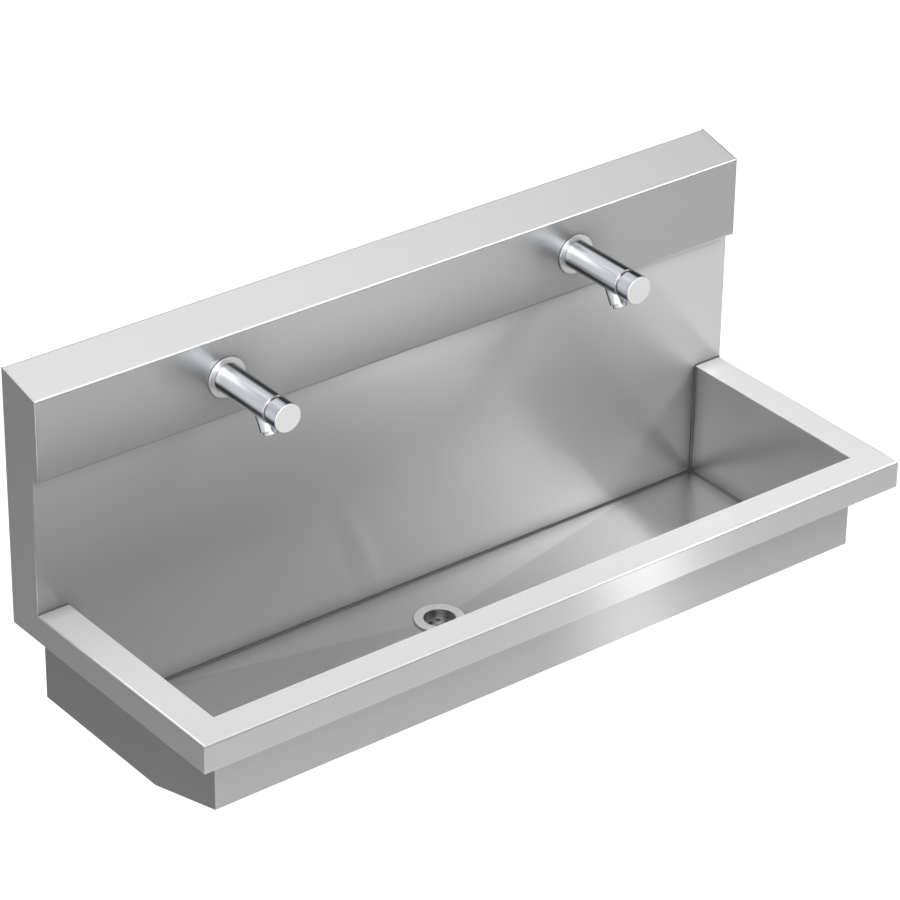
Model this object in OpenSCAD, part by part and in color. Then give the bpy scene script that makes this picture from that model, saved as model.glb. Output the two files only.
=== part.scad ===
// Wall-hung stainless steel trough sink with two push taps on a raised service panel.
// All sizes are in millimetres. X runs along the trough, +Y points into the wall and +Z is up.
// The origin is on the wall plane, at the centre of the four wall fixings.

/* [Overall] */
// Length of the trough over its side panels
length = 1200; // [1100:10:1500]
// Depth from the wall to the front of the apron
depth = 448; // [430:2:500]
// Height of the upstand above the rim, at the wall
upstand_h = 350; // [335:5:400]
// How far the top of the upstand falls from the wall to its front
top_fall = 19; // [10:1:26]
// Depth of the upstand at the service panel
upstand_d = 77.5; // [75:0.5:85]
// Height of the service panel that carries the taps
panel_h = 122; // [110:2:130]
// Distance from the wall to the face of the lower back panel
back_d = 62; // [58:1:66]

/* [Sheet] */
// Thickness of the stainless sheet
sheet = 1.2; // [1:0.1:1.5]
// Outer radius of the folds
bend_r = 3; // [2.5:0.5:4]
// Gap where a removable piece meets a fixed one
panel_gap = 0.3; // [0.2:0.1:0.5]

/* [Rim] */
// Width of the rim at each end
rim_side_w = 48; // [40:2:60]
// Width of the rim at the front
rim_front_w = 48; // [40:2:60]
// Height of the apron below the rim
apron_h = 42; // [36:2:60]
// Width of the flange folded in under the apron
apron_return = 12; // [8:1:16]
// Height of the folded lip along the ends of the rim
lip_h = 3.4; // [3.2:0.2:5]

/* [Basin] */
// Depth of the basin below the rim
basin_depth = 180; // [160:5:220]
// Height of the basin's front wall
front_wall_h = 142; // [120:2:150]
// Distance from the front wall to where the front slope meets the floor
slope_run = 138; // [120:2:150]
// Fall of the floor from each end to the drain
floor_fall = 4; // [2:0.5:8]
// Distance from each end wall to the start of the floor's rear fold
crease_inset = 96; // [60:4:140]
// Distance from the wall to the centre of the drain
drain_d = 161; // [150:1:175]

/* [Cover fixings] */
// Height of the rear flange that hooks the service panel over its rail
hook_flange_h = 15; // [10:1:18]
// Radius of the panel screws
screw_r = 2; // [1.5:0.25:2.5]
// Distance of the outer panel screws from the ends
screw_inset = 80; // [60:5:95]

/* [Wall brackets] */
// Width of each wall bracket
bracket_w = 50; // [40:2:60]
// Thickness of the bracket plate
bracket_t = 3; // [2.5:0.5:4]
// Distance from each end to the centre line of a bracket
bracket_inset = 120; // [100:5:140]
// Radius of the wall fixing holes
fixing_r = 5.5; // [4.5:0.5:6.5]
// Distance of the upper fixing holes below the top of the upstand
fixing_drop = 80; // [60:5:85]

/* [Supply pipe] */
// Outer radius of the supply pipe
pipe_r = 11; // [9:0.5:13]
// Wall thickness of the supply pipe
pipe_wall = 1.5; // [1:0.25:2]
// Distance from the wall to the axis of the supply pipe
pipe_d = 34; // [32:1:36]
// Radius of the threaded inlet that faces the wall
inlet_r = 10.4; // [8:0.2:11]
// Length of each branch from the pipe's axis to a tap
branch_len = 23; // [21:0.5:24]

/* [Tap] */
// Distance between the two taps
tap_spacing = 600; // [500:20:700]
// Reach of the tap from the service panel to its button
tap_reach = 140; // [135:1:150]
// Radius of the tap body and its push head
tap_r = 21; // [20.5:0.5:24]
// Radius of the wall rosette
rosette_r = 30; // [28:1:36]
// Thickness of the wall rosette
rosette_t = 2.6; // [2:0.2:4]
// Length of the push head with its face
head_len = 23; // [21:0.5:24]
// Distance the push head travels
head_travel = 4; // [3:0.25:4]
// Radius of the neck that the push head slides over
neck_r = 18; // [17.5:0.1:18.2]
// Angle of the spout, forward from straight down
spout_tilt = 30; // [22:1:34]
// Distance from the panel to where the spout's axis leaves the tap's axis
spout_from = 77.5; // [70:0.5:80]
// Length of the spout along its axis
spout_len = 42.5; // [40:0.5:48]
// Radius of the spout
spout_r = 13.5; // [13:0.25:14.5]
// Radius of the outlet collar that stands out of the spout
outlet_r = 10.5; // [9.5:0.25:11]
// How far the outlet collar stands out of the spout
outlet_out = 5.8; // [4:0.2:8]
// Radius of the threaded shank behind the panel
shank_r = 10.4; // [9.5:0.1:10.6]

/* [Waste] */
// Radius of the waste flange
flange_r = 37.5; // [35:0.5:40]
// Thickness of the waste flange
flange_t = 2; // [1.5:0.25:3]
// Radius of the opening in the waste flange
cup_r = 22.5; // [21:0.25:24]
// Depth of the strainer below the flange
cup_depth = 13; // [10:0.5:15]
// Radius of each strainer hole
strainer_hole_r = 4; // [3:0.25:4.25]
// Outer radius of the waste outlet
outlet_pipe_r = 20; // [18:0.5:21]
// Length of the plain waste outlet
outlet_pipe_len = 34; // [30:1:36]

/* [Hidden] */
$fn = 96;

// Overrun of a cut past the face it opens
over = 1;
// Clearance on the radius between threads and between pieces that are pushed together
fit_gap = 0.1;
// Clearance on the radius of a running fit
run_gap = 0.05;
// Gap under a piece that rests on another
seat_gap = 0.1;

// Heights above the rim
panel_bottom = upstand_h - top_fall - panel_h;
panel_top = upstand_h - top_fall;
back_overlap = 21;
back_top = panel_bottom + back_overlap;
back_flange = 20;
floor_under = basin_depth + sheet;
bracket_rise = 10;
fixing_edge = 20;
bracket_bottom = -basin_depth + bracket_rise;
fixing_top_z = upstand_h - fixing_drop;
fixing_bottom_z = bracket_bottom + fixing_edge;
rim_z = -(fixing_top_z + fixing_bottom_z) / 2;
tap_z = panel_bottom + panel_h / 2;

// Half lengths and faces along Y, measured forward from the wall
half_l = length / 2;
inner_l = half_l - rim_side_w;
inner_f = depth - rim_front_w;
slope_foot = inner_f - slope_run;
slope_angle = atan(top_fall / upstand_d);

// Floor
crease_x = inner_l - crease_inset;
crease_dip = floor_fall * crease_inset / inner_l;
drain_z = -basin_depth - floor_fall;
seat_margin = 0.8;
seat_r = flange_r + seat_margin;
seat_rise = 6;

// Service panel fixings
foot_gap = 1;
foot_return = upstand_d - back_d - foot_gap;
ledge_gap = 2.3;
ledge_h = 17.5;
ledge_w = upstand_d - back_d - sheet - ledge_gap;
rail_overlap = 30;
bracket_drop = 20;
bracket_top = upstand_h - bracket_drop;
screw_head_h = 2;
screw_head_out = 1.6;
screw_len = 7;
screw_clear = 0.2;
shank_clear = 0.6;
screw_shares = [-1, -1/3, 1/3, 1];

// Supply pipe
pipe_overhang = 28;
pipe_half = tap_spacing / 2 + pipe_overhang;
cap_t = 2;
cap_len = 12;
inlet_len = 31;
inlet_wall = 2;
inlet_thread = 14;
inlet_cone = 5;
inlet_boss_out = 1.6;
branch_r = 8.6;
branch_wall = 1.6;
collar_r = 10.2;
collar_len = 3;
union_washer_t = 0.8;
union_af = 27;
union_grip = 6;
union_lip = 2;

// Tap, along its axis from the face of the service panel
gasket_t = 0.8;
gasket_inset = 0.8;
shank_back = upstand_d - pipe_d - branch_len - union_washer_t;
lock_washer_t = 1.2;
lock_washer_r = 16;
lock_nut_h = 7;
lock_nut_af = 30;
shank_bore_r = 6;
face_t = 1;
ring_t = 0.6;
head_front = tap_reach - face_t - ring_t;
head_back = tap_reach - head_len;
travel_spare = 0.5;
body_front = head_back - head_travel - travel_spare;
head_wall = 4.4;
skirt_gap = 0.6;
skirt_r = neck_r + skirt_gap;
head_inside = head_front - head_wall;
neck_spare = 1;
neck_front = head_inside - head_travel - neck_spare;
edge = 0.5;
body_bore_r = 15;
body_bore_from = 25;
cartridge_from = 27;
cartridge_back = 11;
cartridge_front = neck_front - cartridge_back;
cartridge_step = 1.5;
cartridge_groove = 3;
stem_r = 3.95;
stem_from = 70;
stem_bore_from = 60;
water_bore_r = 5;
port_r = 4;
groove_w = 2.4;
groove_depth = 1.2;
seal_back = 6;
groove_back = neck_front - seal_back;
spring_r = 8.5;
wire_r = 0.7;
spring_turns = 4;
spring_steps = 12;
wire_sides = 6;
face_r_gap = 0.3;
ring_r_gap = 0.5;
spout_bore_r = 7;
outlet_in = 8;
outlet_wall = 2;
outlet_lip = 0.8;
insert_t = 5;
insert_hole_r = 1.1;
insert_pitch = 3.2;
insert_rings = 2;

// Waste, down from the top of the flange
top_gasket_t = 0.8;
cup_wall = 1.6;
thread_r = cup_r + cup_wall;
flange_top = drain_z + top_gasket_t + flange_t;
strainer_t = 1.5;
strainer_top = flange_top - cup_depth;
ledge_in = 2;
spider_gap = 3;
spider_h = 6;
spider_w = 9;
cup_bottom = strainer_top - strainer_t - spider_gap - spider_h;
strainer_pitch_share = 0.62;
strainer_holes = 6;
strainer_screw_r = 2.4;
strainer_head_r = 4.4;
strainer_head_h = 1.8;
strainer_slot_w = 1;
strainer_slot_h = 0.8;
lower_gasket_t = 3;
lower_gasket_w = 10;
nut_top = drain_z - sheet - lower_gasket_t;
waste_nut_h = 6;
waste_nut_w = 9;
nut_lug_w = 8;
nut_lug_out = 4;
nut_lugs = 6;
waste_tail_wall = 2;
socket_len = 12;
socket_wall = 3;
tail_neck = 12;

// Frames

module at_rim() {
    translate([0, 0, rim_z]) children();
}

// Local +Z runs along the tap's axis, out of the service panel
module at_tap(side) {
    at_rim() translate([side * tap_spacing / 2, -upstand_d, tap_z]) rotate([90, 0, 0]) children();
}

// Local +Z runs down the spout, from the tap's axis
module at_spout() {
    translate([0, 0, spout_from]) rotate([90 - spout_tilt, 0, 0]) children();
}

// Local +Z is up, from the top of the floor's drain seat
module at_drain() {
    at_rim() translate([0, -drain_d, 0]) children();
}

// Shared shapes

// Box between two corners
module box(a, b) {
    translate(a) cube(b - a);
}

// Outline in the YZ plane, drawn as [y, z] and carried along X from a to b
module along_x(a, b) {
    translate([a, 0, 0]) rotate([90, 0, 90]) linear_extrude(b - a) children();
}

// Outline in the XZ plane, drawn as [x, z] and carried along Y from a to b
module along_y(a, b) {
    translate([0, b, 0]) rotate([90, 0, 0]) linear_extrude(b - a) children();
}

module ring(r_out, r_in, h) {
    difference() {
        cylinder(r = r_out, h = h);
        translate([0, 0, -over]) cylinder(r = r_in, h = h + 2 * over);
    }
}

module hex_nut(flats, bore_r, h) {
    difference() {
        cylinder(r = flats / sqrt(3), h = h, $fn = 6);
        translate([0, 0, -over]) cylinder(r = bore_r, h = h + 2 * over);
    }
}

function unit(v) = v / norm(v);
function left_of(v) = [-v[1], v[0]];
function turn(a, b) = atan2(a[0] * b[1] - a[1] * b[0], a * b);

// Length of straight path that the bend at corner i takes from each leg, 0 at the path's ends
function bend_take(path, i, t, r) =
    i == 0 || i == len(path) - 1 ? 0 :
    let (a = turn(unit(path[i] - path[i - 1]), unit(path[i + 1] - path[i])))
    (a > 0 ? r : r - t) * tan(abs(a) / 2);

// Profile of a folded sheet of thickness t on the left of its path, with outer bend radius r
module folded(path, t, r) {
    for (i = [0 : len(path) - 2]) {
        d = unit(path[i + 1] - path[i]);
        a = path[i] + d * bend_take(path, i, t, r);
        b = path[i + 1] - d * bend_take(path, i + 1, t, r);
        polygon([a, b, b + left_of(d) * t, a + left_of(d) * t]);
    }
    if (len(path) > 2) for (i = [1 : len(path) - 2]) {
        d0 = unit(path[i] - path[i - 1]);
        d1 = unit(path[i + 1] - path[i]);
        s = sign(turn(d0, d1));
        near = s > 0 ? r : r - t;
        c = path[i] - d0 * bend_take(path, i, t, r) + left_of(d0) * s * near;
        u0 = -left_of(d0) * s;
        u1 = -left_of(d1) * s;
        translate(c) intersection() {
            difference() {
                circle(r = r);
                circle(r = r - t);
            }
            polygon([[0, 0], u0 * 2 * r, unit(u0 + u1) * 2 * r, u1 * 2 * r]);
        }
    }
}

// Square corner block with two rounded top edges, for the outside and the inside of the rim
module rounded_block(half_x, front, low, r, back) {
    intersection() {
        along_x(-half_x, half_x) union() {
            polygon([[-front, low], [back, low], [back, 0], [-front + r, 0], [-front + r, -r], [-front, -r]]);
            translate([-front + r, -r]) circle(r = r);
        }
        along_y(-front, back) union() {
            polygon([[-half_x, low], [half_x, low], [half_x, -r], [half_x - r, -r], [half_x - r, 0],
                     [-half_x + r, 0], [-half_x + r, -r], [-half_x, -r]]);
            for (s = [-1, 1]) translate([s * (half_x - r), -r]) circle(r = r);
        }
    }
}

// Rim, apron and basin

module rim_frame() {
    color("gainsboro") at_rim() {
        difference() {
            rounded_block(half_l, depth, -apron_h, bend_r, -back_d);
            translate([0, 0, -sheet])
                rounded_block(half_l - sheet, depth - sheet, -apron_h - over, bend_r - sheet, -back_d + over);
            box([-inner_l, -inner_f, -apron_h - over], [inner_l, over, over]);
            for (s = [-1, 1]) box([s * half_l - sheet - over, -depth + sheet, -apron_h - over],
                                  [s * half_l + sheet + over, over, -lip_h]);
        }
        box([-half_l + sheet + panel_gap, -depth + sheet, -apron_h],
            [half_l - sheet - panel_gap, -depth + sheet + apron_return, -apron_h + sheet]);
    }
}

module basin_front() {
    color("silver") at_rim()
        box([-inner_l, -inner_f - sheet, -front_wall_h - sheet], [inner_l, -inner_f, -sheet]);
}

// Plan of the folded floor: two end facets, a rear triangle, a front triangle and the front slope,
// all meeting at the drain. Heights are above the basin's depth line.
floor_points = [
    [-inner_l, -back_d, 0], [-inner_l, -slope_foot, 0], [-inner_l, -inner_f, basin_depth - front_wall_h],
    [inner_l, -inner_f, basin_depth - front_wall_h], [inner_l, -slope_foot, 0], [inner_l, -back_d, 0],
    [crease_x, -back_d, -crease_dip], [-crease_x, -back_d, -crease_dip], [0, -drain_d, -floor_fall]
];
floor_facets = [[0, 1, 8, 7], [5, 6, 8, 4], [7, 8, 6], [1, 4, 8], [1, 2, 3, 4]];

// The floor's top surface given a thickness t
module floor_sheet(t) {
    n = len(floor_points);
    edge_n = n - 1;
    polyhedron(
        points = concat(floor_points, [for (p = floor_points) p - [0, 0, t]]),
        faces = concat(
            [for (f = floor_facets) [for (i = [len(f) - 1 : -1 : 0]) f[i]]],
            [for (f = floor_facets) [for (i = f) i + n]],
            [for (i = [0 : edge_n - 1]) let (j = (i + 1) % edge_n) [i, j, j + n, i + n]]));
}

module basin_floor() {
    color("silver") at_rim() difference() {
        union() {
            translate([0, 0, -basin_depth]) difference() {
                floor_sheet(sheet);
                translate([0, -drain_d, -seat_rise - floor_fall])
                    cylinder(r = seat_r, h = 2 * seat_rise + floor_fall);
            }
            intersection() {
                translate([0, 0, -basin_depth]) floor_sheet(seat_rise + floor_fall);
                translate([0, -drain_d, drain_z - sheet]) difference() {
                    cylinder(r = seat_r, h = seat_rise + sheet);
                    translate([0, 0, sheet]) cylinder(r = seat_r - sheet / 2, h = seat_rise + over);
                }
            }
        }
        translate([0, -drain_d, drain_z - sheet - over])
            cylinder(r = thread_r + seat_margin, h = sheet + 2 * over);
    }
}

module basin_end(side) {
    x = side > 0 ? inner_l : -inner_l - sheet;
    color("darkgray") at_rim() along_x(x, x + sheet)
        polygon([[0, -sheet], [0, -floor_under], [-slope_foot, -floor_under],
                 [-inner_f, -front_wall_h - sheet], [-inner_f - sheet, -front_wall_h - sheet],
                 [-inner_f - sheet, -sheet]]);
}
module basin_end_left() { basin_end(-1); }
module basin_end_right() { basin_end(1); }

// Upstand

module back_panel() {
    wide = half_l - sheet;
    low = -floor_under - crease_dip;
    color("silver") at_rim() {
        along_y(-back_d, -back_d + sheet)
            polygon([[-inner_l, low], [inner_l, low], [inner_l, -sheet], [wide, -sheet], [wide, back_top],
                     [-wide, back_top], [-wide, -sheet], [-inner_l, -sheet]]);
        box([-wide, -back_d + sheet, back_top - sheet], [wide, -back_d + sheet + back_flange, back_top]);
    }
}

module side_panel(side) {
    x = side > 0 ? half_l - sheet : -half_l;
    inside = side > 0 ? half_l - sheet - apron_return : -half_l + sheet;
    apron_back = -depth + sheet;
    color("darkgray") at_rim() {
        along_x(x, x + sheet)
            polygon([[0, -apron_h], [0, upstand_h], [-upstand_d, panel_top], [-upstand_d, panel_bottom],
                     [-back_d, panel_bottom], [-back_d, -lip_h - panel_gap], [apron_back, -lip_h - panel_gap],
                     [apron_back, -apron_h]]);
        box([inside, apron_back + apron_return + panel_gap, -apron_h],
            [inside + apron_return, -sheet, -apron_h + sheet]);
        box([inside, -sheet, -apron_h], [inside + apron_return, 0, bracket_top]);
    }
}
module side_panel_left() { side_panel(-1); }
module side_panel_right() { side_panel(1); }

module service_panel() {
    half = half_l - sheet - panel_gap;
    rear = -panel_gap;
    rear_top = upstand_h - panel_gap * tan(slope_angle);
    color("lightgray") at_rim() difference() {
        along_x(-half, half) folded([
            [rear, upstand_h - hook_flange_h], [rear, rear_top], [-upstand_d, panel_top],
            [-upstand_d, panel_bottom], [-upstand_d + foot_return, panel_bottom]], sheet, bend_r);
        for (s = [-1, 1]) translate([s * tap_spacing / 2, -upstand_d + over + sheet, tap_z])
            rotate([90, 0, 0]) cylinder(r = shank_r + shank_clear, h = sheet + 2 * over);
        at_screws() translate([0, 0, -over]) cylinder(r = screw_r + screw_clear, h = sheet + 2 * over);
    }
}

// Screw places, with local zero at the underside of the service panel's foot
module at_screws() {
    for (k = screw_shares)
        translate([k * (half_l - screw_inset), -back_d - sheet - ledge_w / 2, panel_bottom]) children();
}

module panel_ledge() {
    half = half_l - sheet - panel_gap;
    z = panel_bottom + sheet;
    color("gray") at_rim() difference() {
        along_x(-half, half) folded([
            [-back_d - ledge_w, z], [-back_d, z], [-back_d, z + ledge_h]], sheet, bend_r);
        at_screws() translate([0, 0, sheet - over]) cylinder(r = screw_r + run_gap, h = sheet + 2 * over);
    }
}

module panel_screws() {
    color("dimgray") at_rim() at_screws() {
        translate([0, 0, -screw_head_h]) difference() {
            cylinder(r = screw_r + screw_head_out, h = screw_head_h);
            translate([0, 0, -over]) cylinder(r = screw_r / 2, h = screw_head_h / 2 + over, $fn = 6);
        }
        cylinder(r = screw_r, h = screw_len);
    }
}

// Top of the rail follows the underside of the service panel
function under_top(y) = upstand_h + y * top_fall / upstand_d - sheet / cos(slope_angle) - seat_gap;

module hook_rail() {
    half = half_l - sheet - apron_return - panel_gap;
    front = -bracket_t - sheet;
    color("gray") at_rim() along_x(-half, half)
        polygon([[-bracket_t, bracket_top - rail_overlap], [-bracket_t, under_top(-bracket_t)],
                 [front, under_top(front)], [front, bracket_top - rail_overlap]]);
}

module wall_bracket(side) {
    x = side * (half_l - bracket_inset);
    color("slategray") at_rim() translate([x, 0, 0]) difference() {
        union() {
            box([-bracket_w / 2, -bracket_t, bracket_bottom], [bracket_w / 2, 0, bracket_top]);
            for (s = [0, 1]) translate([s * (bracket_w - bracket_t) - bracket_w / 2, 0, 0])
                box([0, -back_d + sheet, bracket_bottom], [bracket_t, -bracket_t, back_top - sheet]);
        }
        for (z = [fixing_bottom_z, fixing_top_z]) translate([0, over, z])
            rotate([90, 0, 0]) cylinder(r = fixing_r, h = bracket_t + 2 * over);
    }
}
module wall_bracket_left() { wall_bracket(-1); }
module wall_bracket_right() { wall_bracket(1); }

// Supply pipe behind the service panel

module supply_pipe() {
    boss_r = inlet_r + inlet_boss_out;
    boss_len = inlet_len - inlet_thread - inlet_cone;
    color("peru") at_rim() translate([0, -pipe_d, tap_z]) difference() {
        union() {
            translate([-pipe_half, 0, 0]) rotate([0, 90, 0]) cylinder(r = pipe_r, h = 2 * pipe_half);
            for (s = [-1, 1]) translate([s * tap_spacing / 2, 0, 0]) rotate([90, 0, 0]) {
                cylinder(r = branch_r, h = branch_len);
                translate([0, 0, branch_len - collar_len]) cylinder(r = collar_r, h = collar_len);
            }
            rotate([-90, 0, 0]) rotate_extrude() polygon([
                [0, 0], [boss_r, 0], [boss_r, boss_len], [inlet_r, boss_len + inlet_cone],
                [inlet_r, inlet_len], [0, inlet_len]]);
        }
        translate([-pipe_half - over, 0, 0])
            rotate([0, 90, 0]) cylinder(r = pipe_r - pipe_wall, h = 2 * (pipe_half + over));
        for (s = [-1, 1]) translate([s * tap_spacing / 2, 0, 0])
            rotate([90, 0, 0]) cylinder(r = branch_r - branch_wall, h = branch_len + over);
        rotate([-90, 0, 0]) cylinder(r = inlet_r - inlet_wall, h = inlet_len + over);
    }
}

module pipe_caps() {
    color("peru") at_rim() for (s = [-1, 1])
        translate([s * (pipe_half + cap_t), -pipe_d, tap_z]) rotate([0, -90 * s, 0]) difference() {
            cylinder(r = pipe_r + fit_gap + pipe_wall, h = cap_len);
            translate([0, 0, cap_t]) cylinder(r = pipe_r + fit_gap, h = cap_len);
        }
}

module union_nuts() {
    nut_len = union_grip + union_washer_t + collar_len + union_lip;
    color("goldenrod") for (s = [-1, 1]) at_tap(s)
        translate([0, 0, -shank_back - (nut_len - union_grip)]) difference() {
            hex_nut(union_af, branch_r + fit_gap, nut_len);
            translate([0, 0, union_lip]) cylinder(r = shank_r + fit_gap, h = nut_len);
        }
}

module union_washers() {
    color("firebrick") for (s = [-1, 1]) at_tap(s) translate([0, 0, -shank_back - union_washer_t])
        ring(collar_r, branch_r - branch_wall, union_washer_t);
}

module lock_nuts() {
    color("goldenrod") for (s = [-1, 1]) at_tap(s)
        translate([0, 0, -sheet - lock_washer_t - lock_nut_h])
            hex_nut(lock_nut_af, shank_r + fit_gap, lock_nut_h);
}

module lock_washers() {
    color("silver") for (s = [-1, 1]) at_tap(s) translate([0, 0, -sheet - lock_washer_t])
        ring(lock_washer_r, shank_r + fit_gap, lock_washer_t);
}

// Taps

module tap_gasket(side) {
    color("black") at_tap(side) ring(rosette_r - gasket_inset, shank_r + fit_gap, gasket_t);
}
module tap_gasket_left() { tap_gasket(-1); }
module tap_gasket_right() { tap_gasket(1); }

module tap_rosette(side) {
    color("gainsboro") at_tap(side) translate([0, 0, gasket_t]) rotate_extrude()
        polygon([[tap_r + fit_gap, 0], [rosette_r, 0], [rosette_r, rosette_t - edge],
                 [rosette_r - edge, rosette_t], [tap_r + fit_gap, rosette_t]]);
}
module tap_rosette_left() { tap_rosette(-1); }
module tap_rosette_right() { tap_rosette(1); }

// Body with its shank, the neck under the push head and the slanted spout
module tap_body(side) {
    color("lightsteelblue") at_tap(side) difference() {
        union() {
            rotate_extrude() polygon([
                [0, -shank_back], [shank_r, -shank_back], [shank_r, gasket_t], [tap_r, gasket_t],
                [tap_r, body_front - edge], [tap_r - edge, body_front], [neck_r, body_front],
                [neck_r, groove_back - groove_w], [neck_r - groove_depth, groove_back - groove_w],
                [neck_r - groove_depth, groove_back], [neck_r, groove_back], [neck_r, neck_front],
                [0, neck_front]]);
            at_spout() {
                cylinder(r = spout_r, h = spout_len - edge);
                translate([0, 0, spout_len - edge]) cylinder(r1 = spout_r, r2 = spout_r - edge, h = edge);
            }
        }
        translate([0, 0, body_bore_from]) cylinder(r = body_bore_r, h = tap_reach);
        translate([0, 0, -shank_back - over])
            cylinder(r = shank_bore_r, h = shank_back + body_bore_from + 2 * over);
        at_spout() {
            cylinder(r = spout_bore_r, h = spout_len + over);
            translate([0, 0, spout_len - outlet_in]) cylinder(r = outlet_r + fit_gap, h = outlet_in + over);
        }
    }
}
module tap_body_left() { tap_body(-1); }
module tap_body_right() { tap_body(1); }

// Metering cartridge: a grooved plug with a blind bore for the stem and a side port to the spout
module tap_cartridge(side) {
    r = body_bore_r - fit_gap;
    front = cartridge_front;
    color("darkgoldenrod") at_tap(side) difference() {
        rotate_extrude() polygon([
            [0, cartridge_from], [r - cartridge_step, cartridge_from], [r, cartridge_from + cartridge_step],
            [r, spout_from - spout_r], [r - cartridge_step, spout_from - spout_r],
            [r - cartridge_step, spout_from + spout_r], [r, spout_from + spout_r],
            [r, front - 2 * cartridge_groove], [r - cartridge_step, front - 2 * cartridge_groove],
            [r - cartridge_step, front - cartridge_groove], [r, front - cartridge_groove],
            [r, front], [0, front]]);
        translate([0, 0, stem_bore_from]) cylinder(r = stem_r + run_gap, h = tap_reach);
        translate([0, 0, cartridge_from - over])
            cylinder(r = water_bore_r, h = stem_bore_from - cartridge_from - cartridge_groove);
        translate([0, 0, (cartridge_from + stem_bore_from) / 2]) rotate([90, 0, 0])
            translate([0, 0, -body_bore_r]) cylinder(r = port_r, h = 2 * body_bore_r);
    }
}
module tap_cartridge_left() { tap_cartridge(-1); }
module tap_cartridge_right() { tap_cartridge(1); }

module tap_neck_seal(side) {
    color("black") at_tap(side) translate([0, 0, groove_back - groove_w / 2]) rotate_extrude()
        translate([neck_r + (skirt_gap - groove_depth) / 2, 0])
            circle(r = (skirt_gap + groove_depth) / 2 - fit_gap);
}
module tap_neck_seal_left() { tap_neck_seal(-1); }
module tap_neck_seal_right() { tap_neck_seal(1); }

// Push head: a cap whose skirt slides over the neck
module push_head(side) {
    color("lightsteelblue") at_tap(side) rotate_extrude() polygon([
        [0, head_inside], [skirt_r, head_inside], [skirt_r, head_back], [tap_r - edge, head_back],
        [tap_r, head_back + edge], [tap_r, head_front], [0, head_front]]);
}
module push_head_left() { push_head(-1); }
module push_head_right() { push_head(1); }

module button_ring(side) {
    color("royalblue") at_tap(side) translate([0, 0, head_front])
        cylinder(r = tap_r - ring_r_gap, h = ring_t);
}
module button_ring_left() { button_ring(-1); }
module button_ring_right() { button_ring(1); }

module button_face(side) {
    r = tap_r - face_r_gap;
    color("whitesmoke") at_tap(side) translate([0, 0, head_front + ring_t]) {
        cylinder(r = r, h = face_t - edge);
        translate([0, 0, face_t - edge]) cylinder(r1 = r, r2 = r - edge, h = edge);
    }
}
module button_face_left() { button_face(-1); }
module button_face_right() { button_face(1); }

module push_stem(side) {
    color("silver") at_tap(side) translate([0, 0, stem_from])
        cylinder(r = stem_r, h = head_inside - stem_from);
}
module push_stem_left() { push_stem(-1); }
module push_stem_right() { push_stem(1); }

// Helical wire from the cartridge to the inside of the push head
function spring_at(k, low, high) =
    let (a = 360 * k / spring_steps, n = spring_turns * spring_steps)
    [spring_r * cos(a), spring_r * sin(a), low + (high - low) * k / n];

module return_spring(side) {
    n = spring_turns * spring_steps;
    low = cartridge_front + wire_r + seat_gap;
    high = head_inside - wire_r - seat_gap;
    points = [for (k = [0 : n], j = [0 : wire_sides - 1])
        let (a = 360 * k / spring_steps, b = 360 * j / wire_sides, p = spring_at(k, low, high))
        p + wire_r * [cos(b) * cos(a), cos(b) * sin(a), sin(b)]];
    color("lightgray") at_tap(side) polyhedron(points = points, faces = concat(
        [[for (j = [wire_sides - 1 : -1 : 0]) j]],
        [for (k = [0 : n - 1], j = [0 : wire_sides - 1])
            let (q = (j + 1) % wire_sides, a = k * wire_sides, b = a + wire_sides) each
            [[a + j, b + q, b + j], [a + j, a + q, b + q]]],
        [[for (j = [0 : wire_sides - 1]) n * wire_sides + j]]));
}
module return_spring_left() { return_spring(-1); }
module return_spring_right() { return_spring(1); }

module outlet_collar(side) {
    color("lightsteelblue") at_tap(side) at_spout() translate([0, 0, spout_len - outlet_in]) difference() {
        union() {
            cylinder(r = outlet_r, h = outlet_in + outlet_out - edge);
            translate([0, 0, outlet_in + outlet_out - edge])
                cylinder(r1 = outlet_r, r2 = outlet_r - edge, h = edge);
        }
        translate([0, 0, -over])
            cylinder(r = outlet_r - outlet_wall, h = outlet_in + outlet_out - outlet_lip + over);
        cylinder(r = outlet_r - outlet_wall - outlet_lip, h = outlet_in + outlet_out + over);
    }
}
module outlet_collar_left() { outlet_collar(-1); }
module outlet_collar_right() { outlet_collar(1); }

// Flow straightener with rings of fine holes
module outlet_insert(side) {
    color("dimgray") at_tap(side) at_spout()
        translate([0, 0, spout_len + outlet_out - outlet_lip - insert_t]) difference() {
            cylinder(r = outlet_r - outlet_wall - fit_gap, h = insert_t);
            translate([0, 0, -over]) {
                cylinder(r = insert_hole_r, h = insert_t + 2 * over);
                for (i = [1 : insert_rings], k = [0 : 6 * i - 1]) rotate([0, 0, 60 * k / i])
                    translate([i * insert_pitch, 0, 0]) cylinder(r = insert_hole_r, h = insert_t + 2 * over);
            }
        }
}
module outlet_insert_left() { outlet_insert(-1); }
module outlet_insert_right() { outlet_insert(1); }

// Waste

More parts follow.
